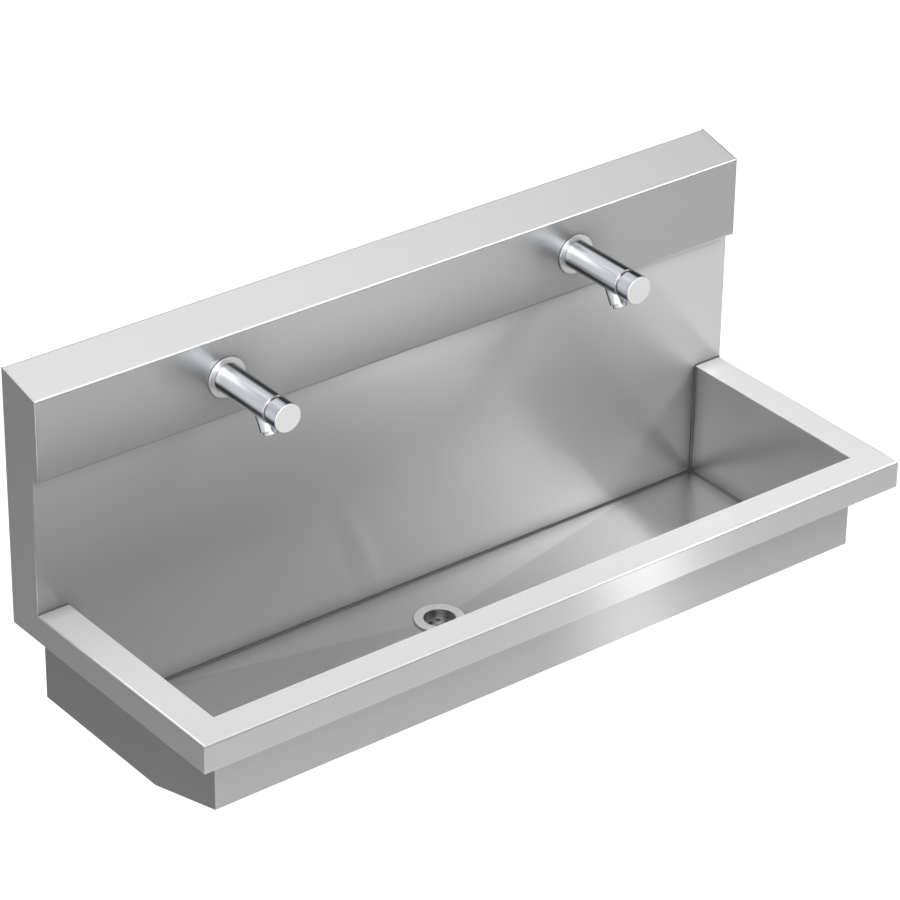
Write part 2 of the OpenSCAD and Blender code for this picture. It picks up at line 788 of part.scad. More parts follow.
module waste_flange() {
    ledge_z = strainer_top - strainer_t;
    color("lightgray") at_drain() {
        rotate_extrude() polygon([
            [cup_r + edge, flange_top], [flange_r - flange_t / 2, flange_top],
            [flange_r, flange_top - flange_t / 2], [flange_r, flange_top - flange_t],
            [thread_r, flange_top - flange_t], [thread_r, cup_bottom], [cup_r - ledge_in, cup_bottom],
            [cup_r - ledge_in, ledge_z], [cup_r, ledge_z], [cup_r, flange_top - edge]]);
        intersection() {
            translate([0, 0, cup_bottom]) cylinder(r = cup_r - ledge_in / 2, h = spider_h);
            difference() {
                box([-cup_r, -spider_w / 2, cup_bottom], [cup_r, spider_w / 2, cup_bottom + spider_h]);
                translate([0, 0, cup_bottom - over])
                    cylinder(r = strainer_screw_r + run_gap, h = spider_h + 2 * over);
            }
        }
    }
}

module waste_strainer() {
    pitch_r = cup_r * strainer_pitch_share;
    color("silver") at_drain() translate([0, 0, strainer_top - strainer_t]) difference() {
        cylinder(r = cup_r - fit_gap, h = strainer_t);
        translate([0, 0, -over]) {
            cylinder(r = strainer_screw_r + fit_gap, h = strainer_t + 2 * over);
            for (k = [0 : strainer_holes - 1]) rotate([0, 0, 360 * k / strainer_holes])
                translate([pitch_r, 0, 0]) cylinder(r = strainer_hole_r, h = strainer_t + 2 * over);
        }
    }
}

module strainer_screw() {
    color("gainsboro") at_drain() difference() {
        union() {
            translate([0, 0, cup_bottom]) cylinder(r = strainer_screw_r, h = strainer_top - cup_bottom);
            translate([0, 0, strainer_top])
                cylinder(r1 = strainer_head_r, r2 = strainer_head_r - edge, h = strainer_head_h);
        }
        translate([0, 0, strainer_top + strainer_head_h - strainer_slot_h])
            box([-strainer_head_r - over, -strainer_slot_w / 2, 0],
                [strainer_head_r + over, strainer_slot_w / 2, strainer_slot_h + over]);
    }
}

module waste_top_gasket() {
    color("black") at_drain() translate([0, 0, drain_z])
        ring(flange_r - edge / 2, thread_r + fit_gap, top_gasket_t);
}

module waste_lower_gasket() {
    color("black") at_drain() translate([0, 0, drain_z - sheet - lower_gasket_t])
        ring(thread_r + lower_gasket_w, thread_r + fit_gap, lower_gasket_t);
}

module waste_nut() {
    r = thread_r + waste_nut_w;
    color("goldenrod") at_drain() translate([0, 0, nut_top - waste_nut_h]) difference() {
        union() {
            cylinder(r = r, h = waste_nut_h);
            for (k = [0 : nut_lugs - 1]) rotate([0, 0, 360 * k / nut_lugs])
                box([0, -nut_lug_w / 2, 0], [r + nut_lug_out, nut_lug_w / 2, waste_nut_h]);
        }
        translate([0, 0, -over]) cylinder(r = thread_r + fit_gap, h = waste_nut_h + 2 * over);
    }
}

// Tail piece: a socket on the flange's thread, a neck and the plain outlet
module waste_tail() {
    top = nut_top - waste_nut_h;
    bore = thread_r + fit_gap;
    low = top - socket_len;
    neck = low - tail_neck;
    end = neck - outlet_pipe_len;
    color("lightgray") at_drain() rotate_extrude() polygon([
        [bore, top], [bore + socket_wall, top], [bore + socket_wall, low], [outlet_pipe_r, neck],
        [outlet_pipe_r, end], [outlet_pipe_r - waste_tail_wall, end], [outlet_pipe_r - waste_tail_wall, neck],
        [bore, low]]);
}

rim_frame();
basin_front();
basin_floor();
basin_end_left();
basin_end_right();
back_panel();
side_panel_left();
side_panel_right();
service_panel();
panel_ledge();
hook_rail();
panel_screws();
wall_bracket_left();
wall_bracket_right();
supply_pipe();
pipe_caps();
union_nuts();
union_washers();
lock_nuts();
lock_washers();
tap_body_left();
tap_body_right();
tap_rosette_left();
tap_rosette_right();
tap_gasket_left();
tap_gasket_right();
tap_cartridge_left();
tap_cartridge_right();
tap_neck_seal_left();
tap_neck_seal_right();
push_head_left();
push_head_right();
button_ring_left();
button_ring_right();
button_face_left();
button_face_right();
push_stem_left();
push_stem_right();
return_spring_left();
return_spring_right();
outlet_collar_left();
outlet_collar_right();
outlet_insert_left();
outlet_insert_right();
waste_flange();
waste_strainer();
strainer_screw();
waste_top_gasket();
waste_lower_gasket();
waste_nut();
waste_tail();
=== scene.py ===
# %% [markdown]
# # A trough sink, built around its CAD model
#
# This lesson dresses a wall-hung steel trough sink. The exact solids come
# from the CAD model, and Blender adds the camera, the studio, the finishes
# and the small pieces that CAD leaves out.
#
# The first step loads the CAD model. Every node arrives as an object at the
# origin with its place in its mesh, so nothing has to be fitted.

# %% Load the CAD model
import math

import bmesh
import bpy
from mathutils import Matrix, Vector


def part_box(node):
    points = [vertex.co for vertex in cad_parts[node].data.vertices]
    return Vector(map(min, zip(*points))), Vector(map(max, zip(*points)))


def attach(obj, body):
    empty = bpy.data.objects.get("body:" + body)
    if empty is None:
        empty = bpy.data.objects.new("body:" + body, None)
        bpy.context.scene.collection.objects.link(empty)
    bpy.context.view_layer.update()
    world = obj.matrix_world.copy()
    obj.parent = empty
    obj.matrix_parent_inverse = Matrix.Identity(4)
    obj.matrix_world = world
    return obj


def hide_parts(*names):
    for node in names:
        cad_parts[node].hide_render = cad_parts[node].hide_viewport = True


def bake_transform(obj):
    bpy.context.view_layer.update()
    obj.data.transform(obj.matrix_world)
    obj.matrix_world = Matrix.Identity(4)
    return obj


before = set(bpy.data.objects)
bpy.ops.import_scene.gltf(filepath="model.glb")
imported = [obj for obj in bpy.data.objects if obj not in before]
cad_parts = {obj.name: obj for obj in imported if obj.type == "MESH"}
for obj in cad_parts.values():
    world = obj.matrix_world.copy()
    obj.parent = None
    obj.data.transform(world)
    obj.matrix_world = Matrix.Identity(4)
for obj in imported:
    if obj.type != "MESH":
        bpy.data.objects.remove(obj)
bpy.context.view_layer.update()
print("nodes:", len(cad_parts))

# %% [markdown]
# ## The camera
#
# A photograph is matched by putting the camera where the photographer stood.
# Straight edges of the sink were followed in the picture, and the place, turn
# and lens that put all of its corners on those edges were worked out.
# A long lens far away keeps the edges nearly parallel, as in the picture.
#
# Blender's camera looks along its own -Z with +Y up, so its turn is built
# from the direction of sight and a small roll.

# %% Camera
CAMERA_SPOT = Vector((-2.9674, -3.9454, 2.8203))
CAMERA_HEADING = math.radians(38.237)
CAMERA_DROP = math.radians(30.101)
CAMERA_ROLL = math.radians(0.804)
CAMERA_LENS = 161.306
SENSOR_WIDTH = 36.0
CLIP_END = 100.0

sight = Vector((math.sin(CAMERA_HEADING) * math.cos(CAMERA_DROP),
                math.cos(CAMERA_HEADING) * math.cos(CAMERA_DROP),
                -math.sin(CAMERA_DROP)))
camera_data = bpy.data.cameras.new("camera")
camera_data.lens = CAMERA_LENS
camera_data.sensor_width = SENSOR_WIDTH
camera_data.clip_end = CLIP_END
camera = bpy.data.objects.new("camera", camera_data)
bpy.context.scene.collection.objects.link(camera)
turn = sight.to_track_quat("-Z", "Y").to_matrix() @ Matrix.Rotation(CAMERA_ROLL, 3, "Z")
camera.matrix_world = Matrix.Translation(CAMERA_SPOT) @ turn.to_4x4()
bpy.context.scene.camera = camera
bpy.context.scene.view_settings.view_transform = "Standard"
print("camera at", tuple(round(c, 3) for c in CAMERA_SPOT))

# %% [markdown]
# ## The studio
#
# Polished and brushed steel has hardly any colour of its own. What we see is
# the room in it, so a metal object is lit by shaping what it reflects. An
# even pale sky gives the steel its middle grey, and the lamps that follow put
# the bright patches where the photograph has them.

# %% Sky
SKY_LEVEL = 0.5

world = bpy.data.worlds.new("studio")
bpy.context.scene.world = world
world.use_nodes = True
sky = world.node_tree.nodes["Background"]
sky.inputs["Color"].default_value = (1, 1, 1, 1)
sky.inputs["Strength"].default_value = SKY_LEVEL
print("sky level:", SKY_LEVEL)

# %% [markdown]
# ## Floor and boards
#
# The floor is matt and pale, and it catches the sink's soft shadow. A small
# glow, which only the camera and the mirrors see, lifts it to plain white
# without putting more light on the steel.
#
# The boards are the grey and black cards that a photographer of metal stands
# just outside the picture. They show only in reflections: the camera, the
# shadows and the matt surfaces don't meet them. The black ones give the
# chrome taps their dark edges.

# %% Floor and boards
FLOOR_Z = -0.9
FLOOR_WIDTH = 60.0
FLOOR_GREY = 0.93
FLOOR_LIFT = 0.46
BOARD_Z = FLOOR_Z + 0.02
PAINT_ROUGHNESS = 0.9


def flat_material(name, grey):
    """A plain matt paint for the studio, which isn't part of the object."""
    material = bpy.data.materials.new(name)
    material.use_nodes = True
    shader = material.node_tree.nodes["Principled BSDF"]
    shader.inputs["Base Color"].default_value = (grey, grey, grey, 1)
    shader.inputs["Roughness"].default_value = PAINT_ROUGHNESS
    shader.inputs["Specular IOR Level"].default_value = 0
    return material


def board(name, middle, normal, width, height, material):
    """A flat board with its middle at a point, facing along a normal."""
    mesh = bpy.data.meshes.new(name)
    bm = bmesh.new()
    bmesh.ops.create_grid(bm, x_segments=1, y_segments=1, size=0.5)
    bmesh.ops.scale(bm, vec=(width, height, 1), verts=bm.verts)
    facing = Vector(normal).to_track_quat("Z", "Y").to_matrix().to_4x4()
    bmesh.ops.transform(bm, matrix=Matrix.Translation(middle) @ facing, verts=bm.verts)
    bm.to_mesh(mesh)
    bm.free()
    mesh.materials.append(material)
    made = bpy.data.objects.new(name, mesh)
    bpy.context.scene.collection.objects.link(made)
    return made


def lift_for_camera(material, amount):
    """Adds a little white for rays from the camera and from mirrors, so pale paint reads white."""
    tree = material.node_tree
    shader = tree.nodes["Principled BSDF"]
    rays = tree.nodes.new("ShaderNodeLightPath").outputs
    seen = rays["Is Camera Ray"]
    for ray in ("Is Glossy Ray", "Is Transmission Ray"):
        either = tree.nodes.new("ShaderNodeMath")
        either.operation = "MAXIMUM"
        tree.links.new(seen, either.inputs[0])
        tree.links.new(rays[ray], either.inputs[1])
        seen = either.outputs["Value"]
    scale = tree.nodes.new("ShaderNodeMath")
    scale.operation = "MULTIPLY"
    scale.inputs[1].default_value = amount
    tree.links.new(seen, scale.inputs[0])
    shader.inputs["Emission Color"].default_value = (1, 1, 1, 1)
    tree.links.new(scale.outputs["Value"], shader.inputs["Emission Strength"])


floor_paint = flat_material("floor_paint", FLOOR_GREY)
lift_for_camera(floor_paint, FLOOR_LIFT)
floor = board("floor", (0, 0, FLOOR_Z), (0, 0, 1), FLOOR_WIDTH, FLOOR_WIDTH, floor_paint)
mid_grey = flat_material("mid_grey", 0.66)
dark_grey = flat_material("dark_grey", 0.31)
flag_black = flat_material("flag_black", 0.04)
cards = [
    board("front_card", (0.9, -2.4, BOARD_Z), (0, 0, 1), 5.0, 3.4, mid_grey),
    board("side_card", (-2.4, 0.9, BOARD_Z), (0, 0, 1), 3.0, 3.4, dark_grey),
    board("right_flag", (2.8, 0.3, 1.2), (-1, 0, 0), 2.4, 2.6, flag_black),
    board("back_flag", (2.3, 2.5, 1.05), (0, -1, 0), 4.0, 3.9, flag_black),
]
for card in cards:
    card.visible_camera = False
    card.visible_shadow = False
    card.visible_diffuse = False
print("studio boards:", floor.name, [card.name for card in cards])

# %% [markdown]
# ## Lamps
#
# Brushed steel smears a lamp into a long streak across its grain, so each
# lamp is a soft rectangle placed where the mirror direction of one surface
# points. Two strips on the floor put the bright bar on the front and the
# apron, and a low strip far away does the same for the upright panels. Two
# arc strips, high on the right, reach the rear wall by way of the basin's
# floor, and the bend strip draws the bright line along the folded edges.
#
# The grain of the sheets turns light from the left away from the camera. So
# the windows there can be bright: one lights the right end of the basin, and
# one is a pale band on the round taps. Their other band is a window behind
# the trough, and a small window above its right end lifts the rim there.
#
# Each lamp was rendered on its own first. Their brightness was then chosen
# so that together they give the levels seen in the photograph.

# %% Lamps


def soft_lamp(name, spot, target, width, height, radiance):
    """A rectangular lamp whose face has a given brightness, where 1 is white."""
    data = bpy.data.lights.new(name, "AREA")
    data.shape = "RECTANGLE"
    data.size = width
    data.size_y = height
    data.energy = radiance * math.pi * width * height
    lamp = bpy.data.objects.new(name, data)
    bpy.context.scene.collection.objects.link(lamp)
    lamp.location = spot
    lamp.rotation_euler = (Vector(target) - Vector(spot)).to_track_quat("-Z", "Y").to_euler()
    lamp.visible_camera = False
    return lamp


SINK = (0, -0.2, 0.05)
BASIN_FOOT = (0.35, -0.25, -0.2)
BASIN_END = (0.55, -0.2, -0.15)
RIM_ARM = (0.6, -0.1, 0)
TAPS = (0, -0.15, 0.22)
STRIP_Z = FLOOR_Z + 0.05
LYING_FACE_UP = (math.pi, 0, math.radians(33))
near_strip = soft_lamp("floor_strip", (1.35, -2.05, STRIP_Z), SINK, 0.16, 1.4, 2.8)
far_strip = soft_lamp("far_floor_strip", (2.75, -4.15, STRIP_Z), SINK, 0.3, 3.0, 2.1)
for strip in (near_strip, far_strip):
    strip.rotation_euler = LYING_FACE_UP
soft_lamp("low_strip", (10.3, -15.7, 1.7), SINK, 0.55, 5.2, 4.1)
soft_lamp("arc_strip", (3.4, -2.8, 2.9), BASIN_FOOT, 0.5, 1.6, 8.0)
soft_lamp("arc_far_strip", (3.8, -2.8, 2.9), BASIN_FOOT, 0.4, 1.6, 4.9)
soft_lamp("bend_strip", (2.14, -2.44, 2.6), SINK, 2.0, 0.25, 5.5)
soft_lamp("end_window", (-1.1, -1.9, 2.0), BASIN_END, 1.2, 1.6, 9.5)
soft_lamp("rim_window", (1.0, 0.4, 2.6), RIM_ARM, 0.8, 1.6, 2.2)
soft_lamp("band_window", (-0.1, 1.2, 2.6), TAPS, 1.8, 1.2, 1.65)
soft_lamp("tap_front_window", (-2.0, -2.2, 1.0), TAPS, 2.2, 3.2, 2.2)

# %% [markdown]
# ## Effects shared by the finishes
#
# Most finishes of the sink share a few effects: the brushed grain, the
# cloudy marks of hands and water, the painted shade in tight corners, the
# smoothing and painted highlight on worn edges, and painted light and shade on
# faces that look one way. Each is built once as a node group with named
# sockets, and every material sets its own values.
#
# A few helpers come first. They make a group, a Math node and a Map Range
# node in one line each, so the recipes stay short.

# %% Helpers for nodes
FLOAT = "NodeSocketFloat"
VECTOR = "NodeSocketVector"
NOISE_MIDDLE = 0.5


def new_group(name, inputs, outputs):
    """A node group with named sockets, what it is given and what it gives."""
    group = bpy.data.node_groups.new(name, "ShaderNodeTree")
    for socket, kind, value in inputs:
        group.interface.new_socket(socket, in_out="INPUT", socket_type=kind).default_value = value
    for socket in outputs:
        group.interface.new_socket(socket, in_out="OUTPUT", socket_type=FLOAT)
    given = group.nodes.new("NodeGroupInput").outputs
    gives = group.nodes.new("NodeGroupOutput").inputs
    return group, given, gives


def plug(tree, socket, value):
    """Links a socket to where its value comes from, or sets it to a plain number."""
    if isinstance(value, bpy.types.NodeSocket):
        tree.links.new(value, socket)
    else:
        socket.default_value = value


def number(tree, operation, *values):
    """A Math node on plain numbers or sockets."""
    node = tree.nodes.new("ShaderNodeMath")
    node.operation = operation
    for socket, value in zip(node.inputs, values):
        plug(tree, socket, value)
    return node.outputs["Value"]


def vector(tree, operation, first, second, result="Vector"):
    """A Vector Math node on plain vectors or sockets."""
    node = tree.nodes.new("ShaderNodeVectorMath")
    node.operation = operation
    plug(tree, node.inputs[0], first)
    plug(tree, node.inputs["Scale" if operation == "SCALE" else 1], second)
    return node.outputs[result]


def ranged(tree, value, low, high, to_low, to_high):
    """A Map Range node: carries a value from one range to another and stops at its ends."""
    node = tree.nodes.new("ShaderNodeMapRange")
    for socket, given in zip(("Value", "From Min", "From Max", "To Min", "To Max"),
                             (value, low, high, to_low, to_high)):
        plug(tree, node.inputs[socket], given)
    return node.outputs["Result"]


def spot_on(tree, output="Object"):
    """Where a point lies on its object, or which way its surface looks."""
    return tree.nodes.new("ShaderNodeTexCoord").outputs[output]


print("helpers ready")

# %% [markdown]
# ## Brushed grain
#
# A belt draws fine lines over the sheet, all one way. Noise whose pattern is
# stretched far along that way and squeezed across it looks the same, and it
# needs no picture. The lines are kept about three millimetres apart and very
# faint, because finer ones would only flicker at the size of the photograph.

# %% Brushed grain
grain_group, given, gives = new_group(
    "brushed_grain", [("Stretch", VECTOR, (4.0, 300.0, 300.0)), ("Detail", FLOAT, 2.0)],
    ["Grain", "Height"])
fine = grain_group.nodes.new("ShaderNodeTexNoise")
fine.inputs["Scale"].default_value = 1.0
plug(grain_group, fine.inputs["Detail"], given["Detail"])
plug(grain_group, fine.inputs["Vector"],
     vector(grain_group, "MULTIPLY", spot_on(grain_group), given["Stretch"]))
plug(grain_group, gives["Grain"],
     number(grain_group, "SUBTRACT", fine.outputs["Fac"], NOISE_MIDDLE))
plug(grain_group, gives["Height"], fine.outputs["Fac"])
print("group:", grain_group.name)

# %% [markdown]
# ## Marks of hands and water
#
# Steel that is in use has dull and bright clouds where it was wiped or dried.
# A slow noise gives them, once as a value round zero and once as a mask of
# separate blotches for metals that tarnish.

# %% Handling marks
BLOTCH_FROM, BLOTCH_TO = 0.52, 0.72
CLOUD_DETAIL = 3.0
marks_group, given, gives = new_group(
    "handling_marks", [("Scale", FLOAT, 4.0)], ["Cloud", "Blotch"])
cloud = marks_group.nodes.new("ShaderNodeTexNoise")
cloud.inputs["Detail"].default_value = CLOUD_DETAIL
plug(marks_group, cloud.inputs["Scale"], given["Scale"])
plug(marks_group, cloud.inputs["Vector"], spot_on(marks_group))
plug(marks_group, gives["Cloud"],
     number(marks_group, "SUBTRACT", cloud.outputs["Fac"], NOISE_MIDDLE))
plug(marks_group, gives["Blotch"],
     ranged(marks_group, cloud.outputs["Fac"], BLOTCH_FROM, BLOTCH_TO, 0.0, 1.0))
print("group:", marks_group.name)

# %% [markdown]
# ## Shade in tight corners
#
# Little light finds its way into a folded corner, so its shade is painted into
# the colour. The Ambient Occlusion node measures how closed in a point is, and
# the group turns that into a painted shade that the colour is multiplied with.

# %% Crease shade
CREASE_CLOSED = 0.25
CREASE_RAYS = 8
crease_group, given, gives = new_group(
    "crease_shade", [("Reach", FLOAT, 0.03), ("Depth", FLOAT, 0.4)], ["Shade"])
hollow = crease_group.nodes.new("ShaderNodeAmbientOcclusion")
hollow.samples = CREASE_RAYS
plug(crease_group, hollow.inputs["Distance"], given["Reach"])
plug(crease_group, gives["Shade"],
     ranged(crease_group, hollow.outputs["AO"], CREASE_CLOSED, 1.0,
            number(crease_group, "SUBTRACT", 1.0, given["Depth"]), 1.0))
print("group:", crease_group.name)

# %% [markdown]
# ## Worn edges and painted edge light
#
# Cloths and sleeves rub the outer bends smooth first, which lowers their
# roughness, and the group paints a bright line on them: a painted highlight, or
# a painted dark outline where a finish gives it a gain below zero. The Bevel
# node gives the normal that a rounded edge would have. Where it leaves the true
# normal, there is an edge close by.

# %% Edge wear
EDGE_FLAT, EDGE_SHARP = 0.995, 0.85
EDGE_RAYS = 4
# The mask paints a highlight, or below zero a dark outline, on outer edges.
edge_group, given, gives = new_group("edge_wear_and_light", [("Reach", FLOAT, 0.002)], ["Wear"])
rounded = edge_group.nodes.new("ShaderNodeBevel")
rounded.samples = EDGE_RAYS
plug(edge_group, rounded.inputs["Radius"], given["Reach"])
plain_normal = edge_group.nodes.new("ShaderNodeNewGeometry").outputs["Normal"]
plug(edge_group, gives["Wear"],
     ranged(edge_group, vector(edge_group, "DOT_PRODUCT", rounded.outputs["Normal"],
                               plain_normal, "Value"), EDGE_FLAT, EDGE_SHARP, 0.0, 1.0))
print("group:", edge_group.name)

# %% [markdown]
# ## Faces that look one way
#
# The rim's top, the long front bends and the folded floor's rear facet get
# painted light, and the foot of the bends gets a painted dark reflection line:
# each is made lighter or darker than the rest of its sheet for the way light
# falls on it. Each is picked out by the way that its face looks: a mask that
# rises as the normal turns towards a given axis.

# %% Facing mask
facing_group, given, gives = new_group(
    "facing", [("Axis", VECTOR, (0.0, 0.0, 1.0)), ("From", FLOAT, 0.5), ("To", FLOAT, 1.0)],
    ["Mask"])
plug(facing_group, gives["Mask"],
     ranged(facing_group, vector(facing_group, "DOT_PRODUCT", spot_on(facing_group, "Normal"),
                                 given["Axis"], "Value"), given["From"], given["To"], 0.0, 1.0))
print("group:", facing_group.name)

# %% [markdown]
# ## Metals
#
# Every metal is a Principled BSDF with Metallic at 1, so its colour is that
# of its reflections. Belt-brushed sheet spreads them across its grain only:
# Anisotropic does this, and the Tangent node tells it which way the grain
# runs. Roughness and colour then vary a little with the shared groups, and
# some of the groups paint light and shade into the colour.
#
# The recipe multiplies one scalar after another and applies the product to
# the colour at the end, so an effect that isn't wanted costs no node.
#
# A chrome tube mirrors the dark sides of a room as two dark lines next to its
# outline. Layer Weight says how far the surface turns away from the eye, and
# the recipe paints that narrow band darker: a painted reflection in the colour.
# It depends on the eye, so it stays in the material and isn't part of a shared
# group.

# %% Recipe for metals
UP = (0.0, 0.0, 1.0)
QUARTER_TURN = 0.25
ALONG_X = (4.0, 300.0, 300.0)
ALONG_Z = (300.0, 300.0, 4.0)
TURNED = (60.0, 60.0, 60.0)
BAND_FROM, BAND_TO = (0.43, 0.52), (0.66, 0.80)
FLAT_FROM, FLAT_TO = 0.85, 0.97
POLISH_GLOSS = 0.3
TARNISH_GLOSS = 0.12
GRAIN_DEPTH = 0.0001


def placed(tree, group, **values):
    """A node group with its inputs set by name."""
    node = tree.nodes.new("ShaderNodeGroup")
    node.node_tree = group
    for socket, value in values.items():
        node.inputs[socket].default_value = value
    return node.outputs


def weighed(tree, shade, mask, gain):
    """Raises a shade by the gain where a mask is full, or lowers it if the gain is below zero."""
    return number(tree, "MULTIPLY", shade, number(tree, "MULTIPLY_ADD", mask, gain, 1.0))


def metal(name, colour, roughness, grain_way=ALONG_X, grain=0.004, cloud=0.012, tone=0.008,
          relief=0.0, smear_round="", turn=0.0, crease=0.0, reach=0.03, wear=0.0,
          painted_light=(), duller=0.0, dark_sides=0.0, tarnish=None, blotches=8.0):
    """A metal.

    grain, cloud: how much the roughness follows the grain and the slow marks.
    tone, relief: how much the colour and the height follow the grain.
    smear_round: the axis that the grain runs along, if reflections are drawn out across it.
    turn: turns that smear, where 0.25 is a quarter turn.
    crease, reach: how dark the painted shade in a tight corner gets, and from how far away.
    wear: how pale the outer edges get, a painted highlight, or how dark below
    zero, a painted shade. paler: axis, from, to and gain of facing masks that
    paint light and shade.
    duller: more roughness on faces that look up. tarnish: the colour of the blotches.
    dark_sides: how dark a tube gets in the band just before its outline, a painted reflection.
    """
    material = bpy.data.materials.new(name)
    material.use_nodes = True
    tree = material.node_tree
    shader = tree.nodes["Principled BSDF"]
    shader.inputs["Metallic"].default_value = 1.0
    if smear_round:
        shader.inputs["Anisotropic"].default_value = 1.0
        shader.inputs["Anisotropic Rotation"].default_value = turn
        grain_axis = tree.nodes.new("ShaderNodeTangent")
        grain_axis.direction_type = "RADIAL"
        grain_axis.axis = smear_round
        plug(tree, shader.inputs["Tangent"], grain_axis.outputs["Tangent"])
    lines = placed(tree, grain_group, Stretch=grain_way)
    marks = placed(tree, marks_group, Scale=blotches)
    gloss = number(tree, "MULTIPLY_ADD", marks["Cloud"], cloud, roughness)
    gloss = number(tree, "MULTIPLY_ADD", lines["Grain"], grain, gloss)
    shade = number(tree, "MULTIPLY_ADD", lines["Grain"], tone / NOISE_MIDDLE, 1.0)
    # Facing masks paint light and shade: faces lighter or darker by the way they look.
    for axis, low, high, gain in painted_light:
        mask = placed(tree, facing_group, Axis=axis, From=low, To=high)["Mask"]
        shade = weighed(tree, shade, mask, gain)
    if duller:
        mask = placed(tree, facing_group, Axis=UP, From=FLAT_FROM, To=FLAT_TO)["Mask"]
        gloss = number(tree, "MULTIPLY_ADD", mask, duller, gloss)
    # Painted reflection: a dark band just inside a tube's outline.
    if dark_sides:
        away = tree.nodes.new("ShaderNodeLayerWeight").outputs["Facing"]
        band = number(tree, "MULTIPLY", ranged(tree, away, *BAND_FROM, 0.0, 1.0),
                      ranged(tree, away, *BAND_TO, 1.0, 0.0))
        shade = weighed(tree, shade, band, -dark_sides)
    # Painted shade in tight corners and under overhangs.
    if crease:
        shade = number(tree, "MULTIPLY", shade,
                       placed(tree, crease_group, Reach=reach, Depth=crease)["Shade"])
    # Painted highlight on worn edges, a painted dark outline below zero; the lower roughness is
    # real smoothing from use.
    if wear:
        polish_and_edge_light = placed(tree, edge_group)["Wear"]
        shade = weighed(tree, shade, polish_and_edge_light, wear)
        gloss = number(tree, "MULTIPLY_ADD", polish_and_edge_light, -POLISH_GLOSS * wear, gloss)
    body = colour
    if tarnish:
        stain = tree.nodes.new("ShaderNodeMix")
        stain.data_type = "RGBA"
        stain.inputs["A"].default_value = (*colour, 1.0)
        stain.inputs["B"].default_value = (*tarnish, 1.0)
        plug(tree, stain.inputs["Factor"], marks["Blotch"])
        body = stain.outputs["Result"]
        gloss = number(tree, "MULTIPLY_ADD", marks["Blotch"], TARNISH_GLOSS, gloss)
    plug(tree, shader.inputs["Base Color"], vector(tree, "SCALE", body, shade))
    plug(tree, shader.inputs["Roughness"], gloss)
    if relief:
        bump = tree.nodes.new("ShaderNodeBump")
        bump.inputs["Strength"].default_value = relief
        bump.inputs["Distance"].default_value = GRAIN_DEPTH
        plug(tree, bump.inputs["Height"], lines["Height"])
        plug(tree, shader.inputs["Normal"], bump.outputs["Normal"])
    return material


def grey(level):
    """A neutral colour."""
    return (level, level, level)


print("recipe ready")

# %% [markdown]
# ## Sheet steel
#
# The sheets differ in how their grain runs and how hard they were brushed, and
# each has its own grey as painted light and shade on one steel: the back panel
# is painted palest and the basin ends darkest. On the rim, the front and the
# panels the grain runs along the trough, and on the two ends and sides it runs
# upright, which is why those never show the bright bar. The floor's rear facet
# is painted lighter. The rim's top is duller than its apron, from wiping, and
# its colour is lifted as painted light. The long front bends get a painted
# highlight from a mask that looks halfway between up and forward, and one just
# below it paints the dark reflection line at their foot. The service panel
# alone is left without a smear, so its reflections are soft both ways.

# %% Sheet steel
FORWARD = (0.0, -1.0, 0.0)
HALF_UP = (0.0, -0.707, 0.707)
JUST_UP = (0.0, -0.966, 0.259)
# Painted light on the rear facet and rim top, painted highlights on the bends, a painted dark
# reflection line at their foot.
REAR_FACET_LIGHT = (FORWARD, 0.0, 0.03, 0.12)
RIM_TOP_LIGHT = (UP, 0.5, 1.0, 0.57)
FRONT_BEND_HIGHLIGHT = (HALF_UP, 0.80, 0.93, 0.9)
RIM_BEND_HIGHLIGHT = (HALF_UP, 0.80, 0.93, 0.3)
BEND_FOOT_DARK_REFLECTION = (JUST_UP, 0.975, 0.99, -0.5)
# Each sheet's grey is painted light and shade: one steel, made lighter or darker per sheet.
finishes = {
    "rim_steel": metal("rim_steel", grey(0.605), 0.28, smear_round="X", crease=0.45, wear=0.3,
                       painted_light=(RIM_TOP_LIGHT, RIM_BEND_HIGHLIGHT, BEND_FOOT_DARK_REFLECTION), duller=0.3),
    "basin_steel": metal("basin_steel", grey(0.50), 0.27, smear_round="X", crease=0.65,
                         reach=0.08, wear=0.3),
    "back_steel": metal("back_steel", grey(0.665), 0.30, smear_round="X", crease=0.45),
    "panel_steel": metal("panel_steel", grey(0.50), 0.34, crease=0.85, reach=0.07,
                         painted_light=(FRONT_BEND_HIGHLIGHT, BEND_FOOT_DARK_REFLECTION), duller=0.3),
    "side_steel": metal("side_steel", grey(0.62), 0.29, ALONG_Z, smear_round="Z", crease=0.3,
                        wear=0.4),
    "shaded_end_steel": metal("shaded_end_steel", grey(0.35), 0.29, ALONG_Z, smear_round="Z", crease=0.45),
    "floor_steel": metal("floor_steel", grey(0.53), 0.22, smear_round="X", crease=0.45,
                         painted_light=(REAR_FACET_LIGHT,)),
}
print("sheet steels:", sorted(finishes))

# %% [markdown]
# ## Taps and waste
#
# Chrome plating is a mirror. Its polishing lines run round the casing, so
# reflections are drawn out along the tap and stay sharp round it: the same
# Anisotropic input does it with the tangent turned by a quarter. The rosettes
# and button faces are satin, and the rosettes get a painted dark outline on
# their edges. The waste is pressed steel: the tops of its flange and its
# strainer get painted light, the rest of them is painted dark as shade, and the
# flange also gets a painted dark outline.

